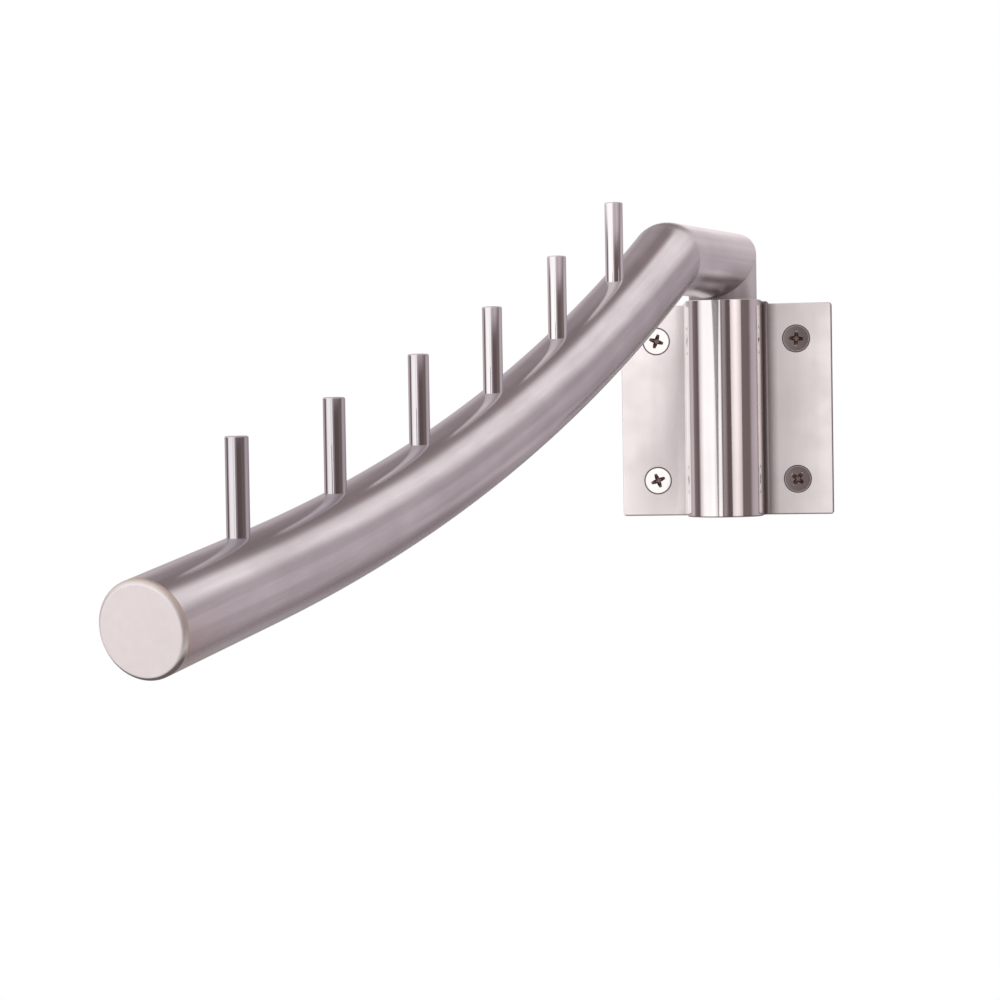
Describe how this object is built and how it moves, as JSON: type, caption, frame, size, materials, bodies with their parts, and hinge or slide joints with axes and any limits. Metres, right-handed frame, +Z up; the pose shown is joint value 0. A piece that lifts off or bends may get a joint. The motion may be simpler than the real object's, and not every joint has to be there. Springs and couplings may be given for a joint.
{
  "type": "wall mounted clothes valet",
  "caption": "Swing-arm clothes valet: a curved tube arm with upright hanger pins along its top, turning in the barrel of a square wall bracket.",
  "frame": {"origin": "centre of the bracket's face against the wall", "axes": "+X right seen from the room, +Y into the wall, +Z up"},
  "size_m": [0.1442, 0.3725, 0.1185],
  "materials": {
    "brushed_steel": "satin brushed stainless steel",
    "polished_steel": "polished stainless steel",
    "screw_steel": "bright stainless steel",
    "nylon": "plain moulded nylon"
  },
  "bodies": {
    "bracket": {"back_plate": "brushed_steel", "front_plate": "brushed_steel", "barrel_floor": "brushed_steel", "lower_saddle": "nylon", "upper_saddle": "nylon", "thrust_washer": "nylon", "wall_screws": "screw_steel"},
    "arm": {"pivot_post": "brushed_steel", "post_plug": "brushed_steel", "retaining_bolt": "screw_steel", "bolt_washer": "screw_steel", "stub_tube": "brushed_steel", "arm_tube": "brushed_steel", "end_cap": "brushed_steel", "hanger_pin_1": "polished_steel", "hanger_pin_2": "polished_steel", "hanger_pin_3": "polished_steel", "hanger_pin_4": "polished_steel", "hanger_pin_5": "polished_steel", "hanger_pin_6": "polished_steel"}
  },
  "joints": [
    {"name": "arm_swing", "type": "hinge", "parent": "bracket", "child": "arm", "pos_m": [0, -0.01368, 0], "axis": [0, 0, 1], "range_deg": [-73, 107]}
  ]
}
